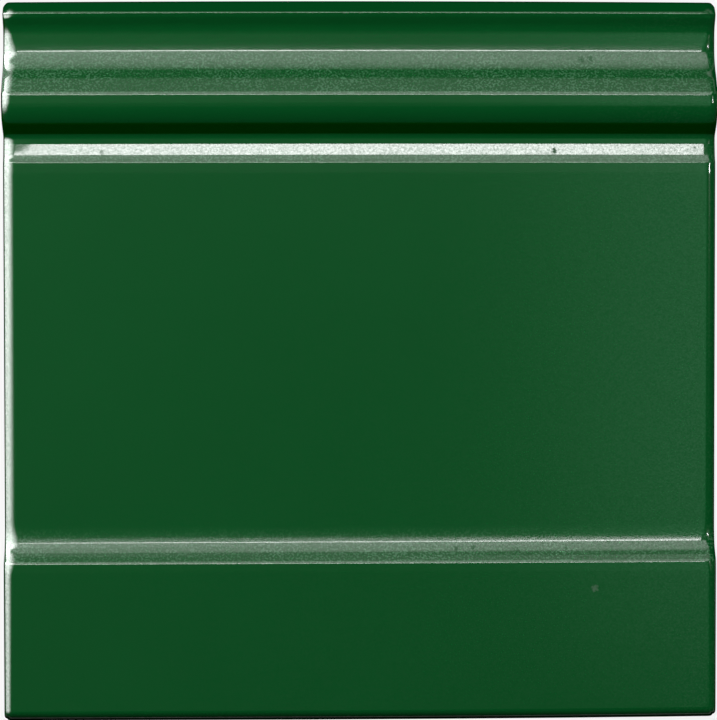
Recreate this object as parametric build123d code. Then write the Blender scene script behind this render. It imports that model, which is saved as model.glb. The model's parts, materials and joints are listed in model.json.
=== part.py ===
from build123d import *
from math import radians, tan
import os

# Glazed ceramic skirting tile, pressed and fired as one piece.
# It lies on its keyed back: +X runs along the skirting, +Y points to the tile's top edge
# and +Z out of its glazed face. The origin is the centre of the back, on the surface it
# rests on. Lengths are millimetres.

width = 152.0
height = 153.5

# Levels of the main surfaces above the back.
field_level = 11.0
plinth_level = 14.15
hollow_level = 8.87
groove_level = 9.96
top_edge_level = 7.9
bottom_edge_level = 11.65

# The face's section, from the top edge down, as the corners of its mouldings before they
# are rounded: depth below the top edge, level above the back, radius of the rounding.
lip_shoulder = (0.4, 8.5, 0.5)
lip_crest = (2.48, 10.62, 0.8)
hollow_brow = (3.45, 10.42, 2.4)
hollow_top = (5.85, hollow_level, 4.3)
hollow_foot = (8.87, hollow_level, 38.0)
ogee_crease = (10.87, 9.045, 4.5)
ogee_lower = (13.42, 9.6, 8.4)
ogee_upper = (16.45, 12.35, 8.0)
torus_arris = (19.85, 14.83, 1.4)
torus_crest = (24.7, 14.95, 5.9)
groove_floor = (28.7, groove_level, 1.7)
groove_crease = (30.45, groove_level, 0.4)
cove_foot = (33.42, 10.36, 3.0)
field_arris = (34.33, 10.9, 0.8)
field_brow = (36.7, field_level, 12.0)
step_haunch = (113.2, field_level, 20.0)
step_crease = (115.5, 11.4, 3.0)
step_lower = (116.55, 11.76, 4.0)
step_upper = (118.5, 13.29, 5.0)
plinth_arris = (119.55, 14.04, 1.1)
plinth_haunch = (121.6, plinth_level, 10.0)
plinth_nosing = (height, plinth_level, 2.4)

# The face rounds down at both ends, over this reach along the run and this drop, and the
# corners of the plan are rounded too. The rounding runs a little past the end before it is
# trimmed, so that it meets the end's upright face at a clean edge.
end_reach = 2.8
end_drop = 1.3
end_trim = 0.01
plan_corner_radius = 1.3

# Keying grooves in the back.
key_count = 12
key_pitch = 11.4
key_length = 132.0
key_width = 5.2
key_depth = 0.9
key_wall_angle = 25.0


def section_point(depth, level):
    """A point of the cross-section, on the plane across the skirting."""
    return Vector(0, height / 2 - depth, level)


def tile_section():
    """The cross-section: the moulded face and the upright edges, carried down past the back."""
    corners = [
        lip_shoulder, lip_crest, hollow_brow, hollow_top, hollow_foot, ogee_crease, ogee_lower,
        ogee_upper, torus_arris, torus_crest, groove_floor, groove_crease, cove_foot,
        field_arris, field_brow, step_haunch, step_crease, step_lower, step_upper,
        plinth_arris, plinth_haunch, plinth_nosing,
    ]
    face_points = [section_point(depth, level) for depth, level, _ in corners]
    face_radii = [radius for _, _, radius in corners]
    top_edge = section_point(0, top_edge_level)
    bottom_edge = section_point(height, bottom_edge_level)
    face_line = FilletPolyline(top_edge, *face_points, bottom_edge, radius=face_radii)
    lowest = -2 * end_drop
    rest_of_outline = Polyline(
        bottom_edge, section_point(height, lowest), section_point(0, lowest), top_edge
    )
    return make_face(Wire(face_line.edges() + rest_of_outline.edges()))


def run_path():
    """The way the section travels along the run: up round one end, level, down the other."""
    level_half = width / 2 - end_reach
    reach = end_reach + end_trim
    across_run = Plane(origin=(0, 0, -end_drop), x_dir=(1, 0, 0), z_dir=(0, -1, 0))
    right_round = EllipticalCenterArc((level_half, 0), reach, end_drop, start_angle=0, arc_size=90)
    left_round = EllipticalCenterArc((-level_half, 0), reach, end_drop, start_angle=90, arc_size=90)
    level_line = Edge.make_line((level_half, 0, 0), (-level_half, 0, 0))
    return Wire([(across_run * right_round).edge(), level_line, (across_run * left_round).edge()])


def keying_groove():
    """One shallow groove across the back, with sloping walls and closed ends."""
    inset = key_depth * tan(radians(key_wall_angle))
    mouth = RectangleRounded(key_length, key_width, key_width / 2.5)
    floor = RectangleRounded(key_length - 2 * inset, key_width - 2 * inset, key_width / 4)
    return loft([mouth, Pos(0, 0, key_depth) * floor])


def skirting_tile():
    """The whole tile: the section carried along the run, trimmed to its plan and back, and keyed."""
    path = run_path()
    section_at_end = Pos(path.position_at(0)) * tile_section()
    bar = sweep(section_at_end, path=path, normal=(1, 0, 0))
    plan = RectangleRounded(width, height, plan_corner_radius)
    body = bar & extrude(plan, amount=2 * plinth_level)
    grooves = [spot * keying_groove() for spot in GridLocations(key_pitch, key_pitch, 1, key_count)]
    return body - grooves


os.makedirs("parts", exist_ok=True)
tile = skirting_tile()
tile.label = "skirting_tile"
export_step(tile, "parts/skirting_tile.step")
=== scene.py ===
import json
from math import copysign, cos, degrees, exp, pi, radians, sin, sqrt, tan
import bmesh
import bpy
from mathutils import Matrix, Vector

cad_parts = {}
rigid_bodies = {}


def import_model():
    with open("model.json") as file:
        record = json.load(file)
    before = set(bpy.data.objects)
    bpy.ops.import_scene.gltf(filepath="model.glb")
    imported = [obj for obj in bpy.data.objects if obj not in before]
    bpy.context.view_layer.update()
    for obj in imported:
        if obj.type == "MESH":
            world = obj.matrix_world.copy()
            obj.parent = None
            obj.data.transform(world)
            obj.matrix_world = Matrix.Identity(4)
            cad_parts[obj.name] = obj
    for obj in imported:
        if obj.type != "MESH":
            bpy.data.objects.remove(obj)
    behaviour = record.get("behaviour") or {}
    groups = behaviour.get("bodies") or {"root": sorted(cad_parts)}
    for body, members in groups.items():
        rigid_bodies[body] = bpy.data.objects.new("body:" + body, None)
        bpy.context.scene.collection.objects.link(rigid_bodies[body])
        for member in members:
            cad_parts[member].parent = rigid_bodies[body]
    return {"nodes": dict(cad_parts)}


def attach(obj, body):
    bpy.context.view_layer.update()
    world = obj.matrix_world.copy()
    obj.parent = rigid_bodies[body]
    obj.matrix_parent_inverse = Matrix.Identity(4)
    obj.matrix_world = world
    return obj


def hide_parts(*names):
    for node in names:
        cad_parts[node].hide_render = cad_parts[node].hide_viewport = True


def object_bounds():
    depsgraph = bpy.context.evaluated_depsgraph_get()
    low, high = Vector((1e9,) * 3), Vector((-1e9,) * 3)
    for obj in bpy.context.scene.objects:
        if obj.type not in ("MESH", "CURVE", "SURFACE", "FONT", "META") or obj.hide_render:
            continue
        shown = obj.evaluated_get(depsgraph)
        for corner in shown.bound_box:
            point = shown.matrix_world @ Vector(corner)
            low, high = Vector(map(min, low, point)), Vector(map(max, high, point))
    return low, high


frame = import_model()
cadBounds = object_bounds()
mm = 0.001
tiny = 0.001 * mm
print("frame loaded:", len(frame["nodes"]), "node")


class Val:
    # an output socket that + - * and the calls below turn into nodes
    def __init__(self, board, socket):
        self.board = board
        self.socket = socket

    def math(self, operation, *others):
        return self.board.node("ShaderNodeMath", {"operation": operation}, [self, *others])

    def __add__(self, other):
        return self.math("ADD", other)

    def __radd__(self, other):
        return self.math("ADD", other)

    def __sub__(self, other):
        return self.math("SUBTRACT", other)

    def __rsub__(self, other):
        return self.board.node("ShaderNodeMath", {"operation": "SUBTRACT"}, [other, self])

    def __mul__(self, other):
        return self.math("MULTIPLY", other)

    def __rmul__(self, other):
        return self.math("MULTIPLY", other)

    def ramp(self, low, high):
        # 0 below low and 1 above high, with a soft passage between
        values = {"Value": self, "From Min": low, "From Max": high}
        return self.board.node("ShaderNodeMapRange", {"interpolation_type": "SMOOTHSTEP"}, values)

    def window(self, begin, full, turn, end):
        # 0 before begin and after end, 1 between full and turn
        return self.ramp(begin, full) * (1.0 - self.ramp(turn, end))


class Board:
    # a material's node tree, and the one way to put a node on it
    def __init__(self, name):
        self.material = bpy.data.materials.new(name)
        self.material.use_nodes = True
        self.tree = self.material.node_tree
        self.tree.nodes.clear()

    def node(self, kind, settings=None, values=None, out=0):
        made = self.tree.nodes.new(kind)
        for key, setting in (settings or {}).items():
            setattr(made, key, setting)
        given = enumerate(values) if isinstance(values, list) else (values or {}).items()
        for key, value in given:
            if isinstance(value, Val):
                self.tree.links.new(value.socket, made.inputs[key])
            else:
                made.inputs[key].default_value = value
        return Val(self, made.outputs[out]) if made.outputs else None

    def split(self, vector):
        # the three numbers of a vector
        first = self.node("ShaderNodeSeparateXYZ", values=[vector])
        return [Val(self, socket) for socket in first.socket.node.outputs]

    def noise(self, spot, scale, detail, roughness):
        return self.node("ShaderNodeTexNoise", values={
            "Vector": spot, "Scale": scale, "Detail": detail, "Roughness": roughness})

    def bump(self, height, distance):
        return self.node("ShaderNodeBump", values={
            "Strength": 1.0, "Distance": distance, "Height": height})

    def mixColour(self, factor, first, second):
        settings = {"data_type": "RGBA", "blend_type": "MIX"}
        return self.node("ShaderNodeMix", settings, {0: factor, 6: first, 7: second}, out=2)

    def mixShader(self, factor, first, second):
        return self.node("ShaderNodeMixShader", values=[factor, first, second])

    def finish(self, surface):
        self.node("ShaderNodeOutputMaterial", values={"Surface": surface})
        return self.material


def newObject(name, bm, material):
    mesh = bpy.data.meshes.new(name)
    bm.to_mesh(mesh)
    bm.free()
    made = bpy.data.objects.new(name, mesh)
    bpy.context.scene.collection.objects.link(made)
    mesh.materials.append(material)
    return made


def smooth(value, low, high):
    # 0 below low and 1 above high, with a soft passage between
    t = min(1, max(0, (value - low) / (high - low)))
    return t * t * (3 - 2 * t)


# the tile in mm and degrees, as wide and high as its solid; a depth is measured down the face
# from the top edge, and a level up from the back
lowest, highest = cadBounds
tileWidth = round((highest[0] - lowest[0]) / mm, 3)
tileHeight = round((highest[1] - lowest[1]) / mm, 3)
fieldLevel = 11.0
plinthLevel = 14.15
hollowLevel = 8.87
grooveLevel = 9.96
tile = {
    "width": tileWidth,
    "height": tileHeight,
    "topEdgeLevel": 7.9,
    "bottomEdgeLevel": 11.65,
    # the bends of the section from the top edge down: depth, level, radius of the rounding
    "mouldings": [
        (0.4, 8.5, 0.5),                     # shoulder of the lip
        (2.58, 10.71, 0.3),                  # crest of the lip
        (3.45, 10.42, 2.4),                  # brow over the hollow
        (5.85, hollowLevel, 4.3),            # top of the hollow
        (9.6, hollowLevel, 18.0),            # foot of the hollow
        (10.87, 8.98, 4.5),                  # crease under the ogee
        (13.42, 9.6, 8.4),                   # ogee, lower bend
        (16.45, 12.35, 8.0),                 # ogee, upper bend
        (19.85, 14.83, 1.4),                 # arris of the torus
        (24.7, 14.95, 5.9),                  # crest of the torus
        (28.7, grooveLevel, 1.7),            # floor of the groove
        (30.45, grooveLevel, 0.4),           # crease of the groove
        (33.28, 10.34, 3.0),                 # foot of the cove
        (34.33, 10.9, 0.8),                  # arris of the field
        (36.7, fieldLevel, 12.0),            # brow of the field
        (113.3, fieldLevel, 14.0),           # haunch above the step
        (115.5, 11.45, 3.0),                 # crease of the step
        (117.05, 11.9, 3.5),                 # step, lower bend
        (118.3, 12.98, 5.0),                 # step, upper bend
        (119.55, 14.04, 1.1),                # arris of the plinth
        (121.6, plinthLevel, 10.0),          # haunch of the plinth
        (tileHeight, plinthLevel, 2.4),      # nosing of the plinth
    ],
    # the rounding of both ends: its reach along the run, its drop, and how far it spreads at
    # each depth, wide in the creases and tight on the crests
    "endReach": 2.8,
    "endDrop": 1.3,
    "endSpread": [
        (0.0, 0.9), (1.6, 0.8), (2.7, 1.4), (3.8, 0.8), (5.0, 0.6), (7.0, 0.8), (10.0, 1.2),
        (13.0, 1.15), (16.0, 0.95), (22.0, 0.75), (28.0, 0.9), (30.5, 1.0), (33.0, 0.9),
        (36.0, 0.95), (110.0, 1.0), (115.0, 1.25), (117.5, 0.8), (119.5, 1.0), (122.0, 0.75),
        (tileHeight, 0.65),
    ],
    "planCornerRadius": 1.3,
    # the warp of firing: places along the run go from -1 at the left end to 1 at the right, and
    # the bottom edge rises with the square of the way past bottomBowFrom
    "topBow": 0.27,              # both ends of the top edge hang below its middle
    "bottomBow": 0.33,
    "bottomBowFrom": -0.145,
    "stepLean": 0.08,            # the step rises at its right end and sinks at its left
    "stepTwist": 0.07,           # the step's slope is raised at its right end, sunk at its left
    "twistBegin": (116.8, 118.2),
    "twistEnd": (118.2, 119.5),
    "creasePool": 0.065,         # glaze pooled in the groove's crease at the left end
    "poolEnd": (-0.97, -0.89),
    "poolTop": (29.6, 30.4),
    "poolBottom": (30.6, 32.2),
    # the keying grooves in the back
    "keyCount": 12,
    "keyPitch": 11.4,
    "keyLength": 132.0,
    "keyWidth": 5.2,
    "keyDepth": 0.9,
    "keyWallAngle": 25.0,
    "keyCornerRadius": 1.4,
    "keyCornerSegments": 4,
    # how fine the mesh is
    "arcStep": 2.5,              # degrees of turn to a segment
    "longestFlat": 1.2,
    "runSegments": 60,
}


def sectionLine(bm):
    # the rounded line of the face across the run, from the top edge to the bottom edge
    half = tile["height"] / 2
    corners = [(0, tile["topEdgeLevel"], 0)]
    corners += tile["mouldings"]
    corners += [(tile["height"], tile["bottomEdgeLevel"], 0)]
    verts = [bm.verts.new((0, (half - depth) * mm, level * mm)) for depth, level, _ in corners]
    turns = []
    for before, vert, after in zip(verts, verts[1:], verts[2:]):
        turns.append((vert.co - before.co).angle(after.co - vert.co))
    for before, vert in zip(verts, verts[1:]):
        bm.edges.new((before, vert))
    for vert, turn, (_, _, radius) in zip(verts[1:], turns, corners[1:]):
        bmesh.ops.bevel(
            bm, geom=[vert], offset=radius * mm * tan(turn / 2), offset_type="OFFSET",
            segments=max(2, round(degrees(turn) / tile["arcStep"])), profile=0.5,
            affect="VERTICES", clamp_overlap=False, material=-1,
        )
    for edge in list(bm.edges):
        cuts = int(edge.calc_length() / (tile["longestFlat"] * mm))
        if cuts:
            bmesh.ops.subdivide_edges(bm, edges=[edge], cuts=cuts)


def runStations():
    # places along the run with how far the section has sunk there: round both ends
    half = tile["width"] / 2
    reach = tile["endReach"]
    depth = tile["endDrop"]
    count = round(90 / tile["arcStep"])
    angles = [radians(90 * step / count) for step in range(count + 1)]
    left = [(-half + reach * (1 - cos(a)), depth * (sin(a) - 1)) for a in angles]
    level = half - reach
    segments = tile["runSegments"]
    middle = [(-level + 2 * level * step / segments, 0) for step in range(1, segments)]
    right = [(-x, drop) for x, drop in reversed(left)]
    return left + middle + right


def endSpread(depth):
    # how far the end's rounding spreads at a depth, read off the table
    table = tile["endSpread"]
    for (low, first), (high, second) in zip(table, table[1:]):
        if depth <= high:
            return first + (second - first) * smooth(depth, low, high)
    return table[-1][1]


def spreadEnd(co):
    # widens or narrows the rounding of the end near a point
    depth = max(0, tile["height"] / 2 - co.y / mm)
    fromEnd = tile["width"] / 2 - abs(co.x) / mm
    fade = exp(-(fromEnd / (2 * tile["endReach"])) ** 2)
    shift = (endSpread(depth) - 1) * fromEnd * fade
    co.x -= copysign(1, co.x) * shift * mm


def roundPlanCorner(co):
    # draws a point near a corner of the plan in onto a round corner
    radius = tile["planCornerRadius"] * mm
    dx = abs(co.x) - (tile["width"] / 2 * mm - radius)
    dy = abs(co.y) - (tile["height"] / 2 * mm - radius)
    if dx <= 0 or dy <= 0:
        return
    shrink = max(dx, dy) / sqrt(dx * dx + dy * dy)
    co.x += copysign(1, co.x) * dx * (shrink - 1)
    co.y += copysign(1, co.y) * dy * (shrink - 1)


def fire(co):
    # the slight warp of the fired tile: its edges bow, the step leans and twists, and glaze
    # pools in a crease
    along = co.x / (tile["width"] / 2 * mm)
    down = 0.5 - co.y / (tile["height"] * mm)
    depth = tile["height"] / 2 - co.y / mm
    pooled = 1 - smooth(along, *tile["poolEnd"])
    pooled *= smooth(depth, *tile["poolTop"]) * (1 - smooth(depth, *tile["poolBottom"]))
    twist = along * smooth(depth, *tile["twistBegin"]) * (1 - smooth(depth, *tile["twistEnd"]))
    co.z += (tile["creasePool"] * pooled + tile["stepTwist"] * twist) * mm
    atStep = 0.105  # what down ** 3 * (1 - down) comes to at the step
    lean = along * tile["stepLean"] * down ** 3 * (1 - down) / atStep
    top = tile["topBow"] * along ** 2 * (1 - down) ** 5
    bottom = tile["bottomBow"] * max(0, along - tile["bottomBowFrom"]) ** 2 * down ** 6
    co.y += (lean - top + bottom) * mm


def cutKeys(bm, back):
    # the keying grooves: the back is split along their edges and each is let in
    halfLength = tile["keyLength"] / 2 * mm
    halfWidth = tile["keyWidth"] / 2 * mm
    depth = tile["keyDepth"] * mm
    count = tile["keyCount"]
    middles = [(index - (count - 1) / 2) * tile["keyPitch"] * mm for index in range(count)]
    cuts = [((side * halfLength, 0, 0), (1, 0, 0)) for side in (-1, 1)]
    cuts += [((0, middle + side * halfWidth, 0), (0, 1, 0))
             for middle in middles for side in (-1, 1)]
    for place, across in cuts:
        geometry = set(back)
        for face in back:
            geometry.update(face.edges)
            geometry.update(face.verts)
        bmesh.ops.bisect_plane(bm, geom=list(geometry), plane_co=place, plane_no=across)
        back = [face for face in bm.faces if abs(face.calc_center_median().z) < tiny]
    keys = []
    for face in back:
        centre = face.calc_center_median()
        inRow = any(abs(centre.y - middle) < halfWidth for middle in middles)
        if inRow and abs(centre.x) < halfLength:
            keys.append(face)
    bmesh.ops.recalc_face_normals(bm, faces=bm.faces)
    walls = bmesh.ops.inset_region(
        bm, faces=keys, thickness=depth * tan(radians(tile["keyWallAngle"])), depth=-depth,
        use_boundary=True, use_even_offset=True,
    )["faces"]
    corners = {edge for face in walls for edge in face.edges
               if abs(edge.verts[0].co.z - edge.verts[1].co.z) > depth / 2}
    bmesh.ops.bevel(
        bm, geom=list(corners), offset=tile["keyCornerRadius"] * mm, offset_type="OFFSET",
        segments=tile["keyCornerSegments"], profile=0.5, affect="EDGES", clamp_overlap=False,
        material=-1,
    )
    for face in bm.faces:
        if max(vert.co.z for vert in face.verts) < depth + tiny:
            face.smooth = False
    print("keying grooves:", len(keys))


def tileBody(material):
    # the section travels along the run, is warped, and gets its sides and back
    bm = bmesh.new()
    sectionLine(bm)
    stations = runStations()
    ring = list(bm.edges)
    x, drop = stations[0]
    bmesh.ops.translate(bm, verts=bm.verts, vec=(x * mm, 0, drop * mm))
    for nextX, nextDrop in stations[1:]:
        made = bmesh.ops.extrude_edge_only(bm, edges=ring)["geom"]
        ring = [item for item in made if isinstance(item, bmesh.types.BMEdge)]
        verts = [item for item in made if isinstance(item, bmesh.types.BMVert)]
        bmesh.ops.translate(bm, verts=verts, vec=((nextX - x) * mm, 0, (nextDrop - drop) * mm))
        x, drop = nextX, nextDrop
    for vert in bm.verts:
        spreadEnd(vert.co)
        roundPlanCorner(vert.co)
        fire(vert.co)
    rim = [edge for edge in bm.edges if edge.is_boundary]
    made = bmesh.ops.extrude_edge_only(bm, edges=rim)["geom"]
    for item in made:
        if isinstance(item, bmesh.types.BMVert):
            item.co.z = 0
    foot = [edge for edge in bm.edges if edge.is_boundary]
    back = bmesh.ops.contextual_create(bm, geom=foot)["faces"]
    for face in bm.faces:
        face.smooth = True
    cutKeys(bm, back)
    bmesh.ops.recalc_face_normals(bm, faces=bm.faces)
    for edge in bm.edges:
        if all(vert.co.z < tiny for vert in edge.verts):
            edge.smooth = False
    print("tile body:", len(bm.faces), "faces")
    made = newObject("glazedTile", bm, material)
    shading = made.modifiers.new("flatsKeepTheirNormals", "WEIGHTED_NORMAL")
    shading.mode = "FACE_AREA"
    shading.keep_sharp = True
    return made


# the glaze and the clay under it: a colour has four numbers, a noise is its scale, detail and
# roughness, and a pair is where a mask begins and ends, by its noise, by a part of the
# surface's normal, or by the place that its comment gives
glaze = {
    # the body of the glaze, deep and light in soft clouds, with a frosty bloom
    "deep": (0.0003, 0.0645, 0.0112, 1.0),
    "light": (0.0009, 0.072, 0.0132, 1.0),
    "mottle": (45.0, 3.0, 0.6),
    "bloom": (0.004, 0.08, 0.018, 1.0),
    "bloomStrength": 0.25,
    "frost": (2300.0, 2.0, 0.7),
    "frostEdges": (0.3, 0.7),
    # painted sheen: pale grey-green specks, painted as the speckled highlight on slopes that face
    # the top edge and its lamps, and a little near the right end as a painted grainy haze
    "speckledSheen": (0.0005, 0.066, 0.011, 1.0),
    "sheenSpecks": (0.042, 0.142, 0.064, 1.0),
    "specks": (2200.0, 0.0, 0.5),
    "speckEdges": (0.45, 0.72),
    "patches": (60.0, 2.0, 0.6),
    "patchEdges": (0.35, 0.65),
    "patchGain": 0.7,
    "patchBase": 0.5,
    "sheenSlope": (0.02, 0.3),
    "sheenEnd": (35.0, 75.0),                 # mm from the tile's centre
    "sheenEndStrength": 0.13,
    # the skin of the glaze: grain and orange peel
    "grain": (3200.0, 1.0, 0.5),
    "grainHeight": 0.12,
    "peel": (260.0, 2.0, 0.5),
    "peelHeight": 0.4,
    "skinDepth": 0.03,                       # mm
    "roughness": 0.17,
    "specular": 0.35,
    "coatRoughness": 0.06,
    "coatIor": 1.6,
    "coatBase": 0.3,
    "coatFrost": 0.6,
    # where it is glossy: on what faces straight out, on the slopes below the lip that face the
    # top edge and not the right end, and on the upright sides
    "glossyFace": (0.7, 0.77),
    "glossySlope": (0.2, 0.4),
    "lipDepths": (2.3, 2.7),                 # mm below the top edge
    "rightEnd": (0.1, 0.35),
    "uprightSide": (0.03, 0.15),
    # the dull glaze of the other slopes, with painted shade by how they turn: lighter facing the
    # top edge, darker facing down, darkest when steep; and painted shade on the plinth's nosing
    "dullShadeTop": (0.0006, 0.052, 0.0095, 1.0),
    "dullShadeUnder": (0.0003, 0.046, 0.0012, 1.0),
    "dullShadeSteep": (0.0003, 0.026, 0.0045, 1.0),
    "dullRoughness": 0.9,
    "underToTop": (-0.3, 0.3),
    "steepToFlat": (0.2, 0.6),
    "shade": (0.0003, 0.005, 0.0008, 1.0),
    "nosingHeights": (0.1, 2.4),             # mm above the bottom edge
    "nosingSlope": (0.0, 0.3),
    # small pits, in mm: across and up from the tile's centre, radius, how dull
    "pits": [
        (41.5, 44.8, 0.95, 0.9), (71.5, 45.4, 0.4, 0.7), (-55.0, 44.4, 0.8, 0.5),
        (49.2, 64.3, 0.9, 0.45), (47.2, 64.1, 0.9, 0.5),
        (20.5, -40.2, 0.6, 0.5), (24.0, -39.9, 0.7, 0.5), (33.5, -40.4, 0.8, 0.4),
        (44.0, -40.0, 0.6, 0.45),
    ],
    # a pale fleck under the glaze: across, up and radius
    "fleck": (49.95, -48.5, 1.0),
    "fleckColour": (0.06, 0.12, 0.07, 1.0),
    "fleckStrength": 0.8,
    "spotCore": 0.25,                        # part of a pit's or fleck's radius that is full
    # the bare clay under the line to which the tile was dipped
    "clayDark": (0.36, 0.29, 0.22, 1.0),
    "clayLight": (0.52, 0.44, 0.35, 1.0),
    "clay": (500.0, 4.0, 0.7),
    "clayDepth": 0.1,                        # mm
    "clayRoughness": 0.9,
    "claySpecular": 0.2,
    "dipLine": (4.6, 5.0),                   # mm above the back, less the runs
    "runs": (130.0, 2.0, 0.5),
    "runsHeight": 5.0,
}


def bareClay(board, spot):
    clay = board.noise(spot, *glaze["clay"])
    return board.node("ShaderNodeBsdfPrincipled", values={
        "Base Color": board.mixColour(clay, glaze["clayDark"], glaze["clayLight"]),
        "Roughness": glaze["clayRoughness"], "Specular IOR Level": glaze["claySpecular"],
        "Normal": board.bump(clay, glaze["clayDepth"] * mm)})


def glazeMaterial():
    board = Board("greenGlaze")
    spot = board.node("ShaderNodeTexCoord", out="Object")
    across, up, level = board.split(spot)
    normal = board.node("ShaderNodeNewGeometry", out="Normal")
    rightward, topward, outward = board.split(normal)
    specks = board.noise(spot, *glaze["specks"])
    bottomEdge = tile["height"] / -2
    topEdge = tile["height"] / 2

    def nearness(x, y, radius):
        # 1 at a spot on the face and 0 beyond an uneven radius round it
        dx = across - x * mm
        dy = up - y * mm
        reach = (dx * dx + dy * dy).math("SQRT") + (specks - 0.5) * radius * mm
        return 1.0 - reach.ramp(glaze["spotCore"] * radius * mm, radius * mm)

    # painted sheen: the pale specks, and where they are painted: on slopes that face the top
    # edge, and near the right end
    patches = board.noise(spot, *glaze["patches"]).ramp(*glaze["patchEdges"])
    sheenSpecks = specks.ramp(*glaze["speckEdges"])
    sheenSpecks = sheenSpecks * (patches * glaze["patchGain"] + glaze["patchBase"])
    speckledSheen = board.mixColour(sheenSpecks, glaze["speckledSheen"], glaze["sheenSpecks"])
    towardsEnd = across.ramp(*[place * mm for place in glaze["sheenEnd"]])
    paintedSheen = topward.ramp(*glaze["sheenSlope"]) + towardsEnd * glaze["sheenEndStrength"]

    # the glossy glaze
    # painted shade on the nosing of the plinth, just above the bottom edge where it faces out
    nosingShade = up.ramp(*[(bottomEdge + rise) * mm for rise in glaze["nosingHeights"]])
    nosingShade = (1.0 - nosingShade) * outward.ramp(*glaze["nosingSlope"])
    frosted = board.noise(spot, *glaze["frost"]).ramp(*glaze["frostEdges"])
    colour = board.mixColour(board.noise(spot, *glaze["mottle"]), glaze["deep"], glaze["light"])
    # the painted sheen's specks go into the glossy colour
    colour = board.mixColour(paintedSheen.math("MINIMUM", 1.0), colour, speckledSheen)
    colour = board.mixColour(frosted * glaze["bloomStrength"], colour, glaze["bloom"])
    # painted shade on the nosing
    colour = board.mixColour(nosingShade, colour, glaze["shade"])
    fleck = nearness(*glaze["fleck"]) * glaze["fleckStrength"]
    colour = board.mixColour(fleck, colour, glaze["fleckColour"])
    grain = board.noise(spot, *glaze["grain"]) * glaze["grainHeight"]
    peel = board.noise(spot, *glaze["peel"]) * glaze["peelHeight"]
    glossy = board.node("ShaderNodeBsdfPrincipled", values={
        "Base Color": colour, "Roughness": glaze["roughness"],
        "Specular IOR Level": glaze["specular"],
        "Normal": board.bump(grain + peel, glaze["skinDepth"] * mm),
        "Coat Weight": frosted * glaze["coatFrost"] + glaze["coatBase"],
        "Coat Roughness": glaze["coatRoughness"], "Coat IOR": glaze["coatIor"]})

    # the dull glaze, with painted shade by how its slopes turn
    topOrUnder = topward.ramp(*glaze["underToTop"])
    steep = 1.0 - outward.ramp(*glaze["steepToFlat"])
    # painted shade: lighter facing the top edge, darker facing down, darkest on steep slopes
    dullShadedColour = board.mixColour(topOrUnder, glaze["dullShadeUnder"], glaze["dullShadeTop"])
    dullShadedColour = board.mixColour(steep, dullShadedColour, glaze["dullShadeSteep"])
    # the same painted shade on the nosing in the dull glaze
    dullShadedColour = board.mixColour(nosingShade, dullShadedColour, glaze["shade"])
    dull = board.node("ShaderNodeBsdfPrincipled", values={
        "Base Color": dullShadedColour, "Roughness": glaze["dullRoughness"],
        "Specular IOR Level": 0.0})

    # where it is glossy: the pits are not
    marks = sum(nearness(x, y, radius) * dullness for x, y, radius, dullness in glaze["pits"])
    nearLip, belowLip = glaze["lipDepths"]
    onLip = up.ramp((topEdge - belowLip) * mm, (topEdge - nearLip) * mm)
    slope = topward.ramp(*glaze["glossySlope"]) * (1.0 - onLip)
    slope = slope * (1.0 - rightward.ramp(*glaze["rightEnd"]))
    upright = 1.0 - outward.ramp(*glaze["uprightSide"])
    shiny = outward.ramp(*glaze["glossyFace"]).math("MAXIMUM", slope).math("MAXIMUM", upright)
    shiny = shiny * (1.0 - marks.math("MINIMUM", 1.0))
    coated = board.mixShader(shiny, dull, glossy)

    # the bare clay under the dip line
    runs = board.noise(spot, *glaze["runs"]) * (glaze["runsHeight"] * mm)
    dipped = (level + runs).ramp(*[height * mm for height in glaze["dipLine"]])
    surface = board.mixShader(dipped, bareClay(board, spot), coated)
    print("green glaze:", len(board.tree.nodes), "nodes")
    return board.finish(surface)


studioFloor = {
    "halfSide": 6.0,                         # metres
    "lit": (0.3, 0.3, 0.3, 1.0),
    "white": (1.0, 1.0, 1.0, 1.0),
    "whiteShare": 0.9,                       # the rest keeps the tile's shadow
}


def whiteFloor():
    board = Board("paleFloor")
    rays = [board.node("ShaderNodeLightPath", out=name)
            for name in ("Is Camera Ray", "Is Glossy Ray", "Is Transmission Ray")]
    seen = rays[0].math("MAXIMUM", rays[1].math("MAXIMUM", rays[2]))
    lit = board.node("ShaderNodeBsdfDiffuse", values={"Color": studioFloor["lit"]})
    white = board.node("ShaderNodeEmission", values={
        "Color": studioFloor["white"], "Strength": 1.0})
    bm = bmesh.new()
    bmesh.ops.create_grid(bm, x_segments=1, y_segments=1, size=studioFloor["halfSide"])
    surface = board.mixShader(seen * studioFloor["whiteShare"], lit, white)
    floor = newObject("floor", bm, board.finish(surface))
    print("floor:", 2 * studioFloor["halfSide"], "m square")


# lamps by where they stand over the tile: degrees from straight up towards +X and +Y,
# distance and size in metres, radiance; a mirrored lamp only shows in the glaze, and the
# other only lights
lamps = {
    "key": {
        "towards": (-12.0, 27.0), "away": 1.25, "size": (0.4, 0.4), "radiance": 34.0,
        "mirrored": False},
    "hotStrip": {
        "towards": (1.6, 18.5), "away": 1.25, "size": (0.56, 0.09), "radiance": 16.0,
        "mirrored": True},
    "rightSpot": {
        "towards": (40.0, 9.3), "away": 1.25, "size": (0.045, 0.045), "radiance": 90.0,
        "mirrored": True},
}

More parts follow.
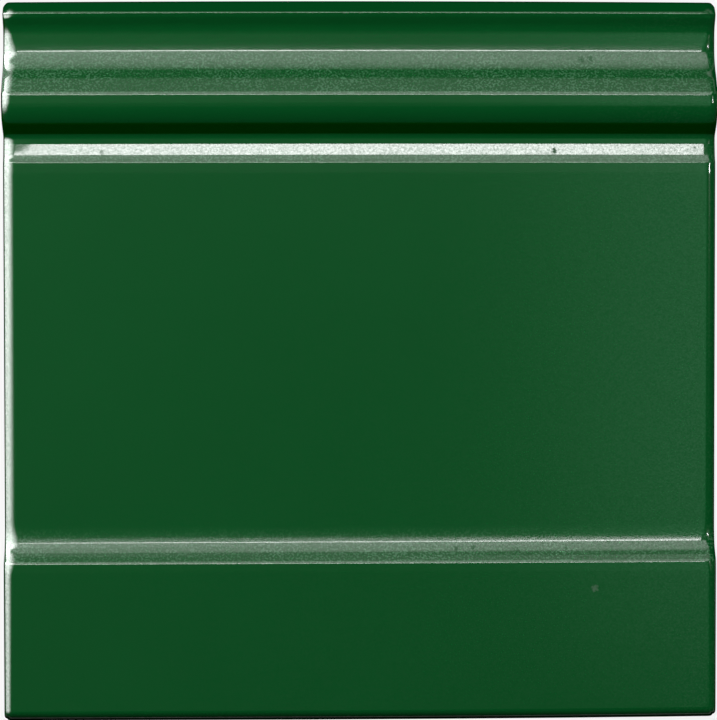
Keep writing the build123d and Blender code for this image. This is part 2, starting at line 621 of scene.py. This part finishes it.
# soft cards that only the glaze mirrors: how they stand and their size as above, and in
# metres from the card's middle where their light fades in and out along each of its axes
cards = {
    "topCard": {
        "towards": (0.0, 52.0), "away": 1.25, "size": (1.5, 1.7), "radiance": 2.0,
        "across": (-0.8, -0.7, 0.7, 0.8), "along": (-0.85, 0.1, 0.68, 0.72)},
    "leftCard": {
        "towards": (-52.0, 28.0), "away": 1.25, "size": (3.3, 2.3), "radiance": 17.0,
        "across": (-0.8, -0.45, -0.2, 1.6), "along": (-0.95, -0.8, 0.1, 1.0)},
    "leftFar": {
        "towards": (-71.6, 74.6), "away": 1.25, "size": (1.5, 0.9), "radiance": 17.0,
        "across": (-0.72, 0.05, 0.6, 0.72), "along": (-0.3, -0.29, 0.1, 0.4)},
    "rightGlow": {
        "towards": (0.0, -3.0), "away": 1.25, "size": (1.4, 1.0), "radiance": 0.55,
        "across": (0.065, 0.29, 0.5, 0.65), "along": (-0.25, -0.05, 0.29, 0.43),
        "tint": (0.4, 1.0, 0.6, 1.0)},
    "overheadGlow": {
        "towards": (0.0, -3.0), "away": 1.26, "size": (1.0, 1.0), "radiance": 0.048,
        "across": (-0.4, -0.25, 0.25, 0.4), "along": (-0.35, -0.2, 0.17, 0.4)},
}


def hang(made, place):
    # stands a lamp or card over the tile, facing it
    aside, ahead = place["towards"]
    direction = Vector((tan(radians(aside)), tan(radians(ahead)), 1)).normalized()
    made.location = direction * place["away"]
    made.rotation_euler = direction.to_track_quat("Z", "Y").to_euler()
    made.visible_camera = False


def hangLamps():
    for name, lamp in lamps.items():
        data = bpy.data.lights.new(name, "AREA")
        data.shape = "RECTANGLE"
        data.size, data.size_y = lamp["size"]
        data.energy = lamp["radiance"] * pi * data.size * data.size_y
        made = bpy.data.objects.new(name, data)
        bpy.context.scene.collection.objects.link(made)
        hang(made, lamp)
        made.visible_glossy = lamp["mirrored"]
        made.visible_diffuse = not lamp["mirrored"]
    print("lamps:", ", ".join(lamps))


def hangCards():
    for name, card in cards.items():
        board = Board(name)
        spot = board.node("ShaderNodeTexCoord", out="Object")
        across, along, _ = board.split(spot)
        light = across.window(*card["across"]) * along.window(*card["along"])
        glow = board.node("ShaderNodeEmission", values={
            "Color": card.get("tint", (1.0, 1.0, 1.0, 1.0)),
            "Strength": light * card["radiance"]})
        clear = board.node("ShaderNodeBsdfTransparent")
        glow = board.node("ShaderNodeAddShader", values=[glow, clear])
        bm = bmesh.new()
        bmesh.ops.create_grid(bm, x_segments=1, y_segments=1, size=0.5)
        width, length = card["size"]
        bmesh.ops.scale(bm, verts=bm.verts, vec=(width, length, 1))
        made = newObject(name, bm, board.finish(glow))
        hang(made, card)
        made.visible_diffuse = False
        made.visible_shadow = False
    print("cards:", ", ".join(cards))


world = {"tint": (1.0, 1.0, 1.0, 1.0), "strength": 0.01}


def dimWorld():
    made = bpy.data.worlds.new("studio")
    made.use_nodes = True
    background = made.node_tree.nodes["Background"]
    background.inputs["Color"].default_value = world["tint"]
    background.inputs["Strength"].default_value = world["strength"]
    bpy.context.scene.world = made
    print("world:", world["strength"])


camera = {
    "distance": 650.0,           # mm from the field to the lens
    "lens": 152.26,              # mm
    "sensor": 36.0,              # mm across the picture's long side
    "clip": (0.01, 50.0),        # metres
    "pitch": 2.11,               # degrees that the tile's top leans towards the lens
    "yaw": 1.083,
    "roll": 0.1,
    "aimSide": 0.37,             # mm that the aim passes beside the tile's centre
    "aimUp": -0.185,
    "aimLevel": fieldLevel,
}


def placeCamera():
    data = bpy.data.cameras.new("camera")
    data.lens = camera["lens"]
    data.sensor_width = camera["sensor"]
    data.clip_start, data.clip_end = camera["clip"]
    made = bpy.data.objects.new("camera", data)
    bpy.context.scene.collection.objects.link(made)
    lean = Matrix.Rotation(radians(camera["pitch"]), 4, "X")
    swing = Matrix.Rotation(radians(camera["yaw"]), 4, "Y")
    roll = Matrix.Rotation(radians(camera["roll"]), 4, "Z")
    place = (camera["aimSide"] * -mm, camera["aimUp"] * -mm, camera["distance"] * mm)
    toTile = Matrix.Translation((0, 0, camera["aimLevel"] * mm))
    made.matrix_world = toTile @ (roll @ swing @ lean).inverted() @ Matrix.Translation(place)
    bpy.context.scene.camera = made
    print("camera:", camera["distance"], "mm away")


bpy.context.scene.view_settings.view_transform = "Standard"
body = tileBody(glazeMaterial())
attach(body, "root")
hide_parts("skirting_tile")
whiteFloor()
hangLamps()
hangCards()
dimWorld()
placeCamera()
